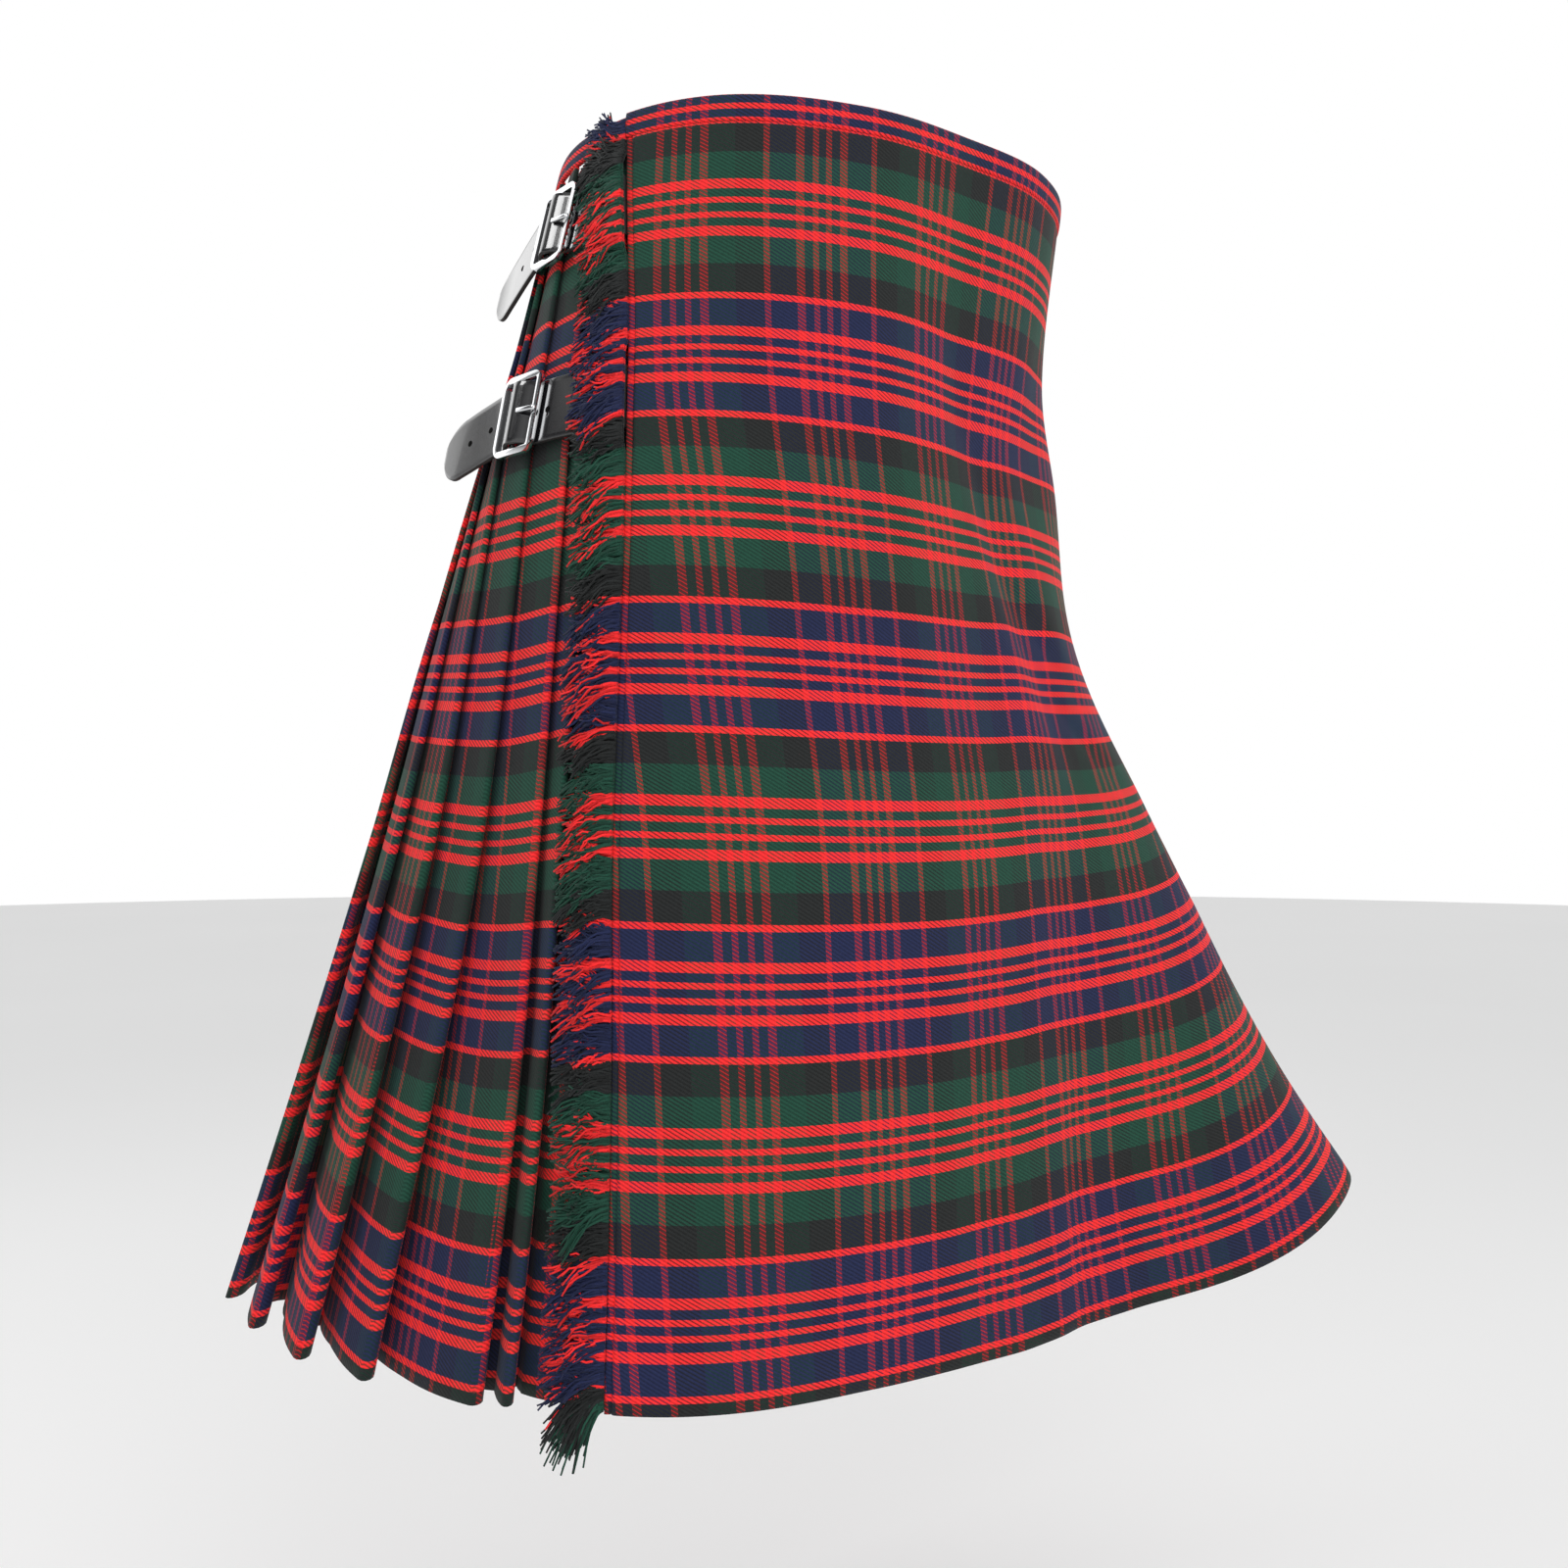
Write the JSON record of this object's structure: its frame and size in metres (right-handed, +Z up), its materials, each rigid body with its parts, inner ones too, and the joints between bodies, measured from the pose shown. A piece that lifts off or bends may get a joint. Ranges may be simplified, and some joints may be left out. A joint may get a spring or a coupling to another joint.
{
  "type": "scottish kilt",
  "caption": "Worn pleated tartan kilt with overlapping aprons, fringed edge, narrow waistband and leather straps with chrome buckles on the hips.",
  "frame": {"origin": "the middle of the waist, level with the top edge of the waistband", "axes": "+Z up, the wearer faces -Y, and the wearer's right is -X"},
  "size_m": [0.4922, 0.5858, 0.6119],
  "materials": {
    "tartan": "worsted twill wool in a green, black, blue and red check",
    "waistband": "worsted twill wool, cut along a red line of the check",
    "fringe": "loose weft threads",
    "patent_leather": "glossy black",
    "chrome": "polished"
  },
  "bodies": {
    "root": {"over_apron": "tartan", "under_apron": "tartan", "pleats_right": "tartan", "pleats_left": "tartan", "waistband_apron": "waistband", "waistband_back": "waistband", "waistband_under": "waistband", "fringe_inner": "fringe", "fringe_outer": "fringe", "strap_top": "patent_leather", "buckle_top": "chrome", "prong_top": "chrome", "chape_top": "patent_leather", "strap_hip": "patent_leather", "buckle_hip": "chrome", "prong_hip": "chrome", "chape_hip": "patent_leather", "strap_left": "patent_leather", "buckle_left": "chrome", "prong_left": "chrome", "chape_left": "patent_leather"}
  },
  "joints": []
}
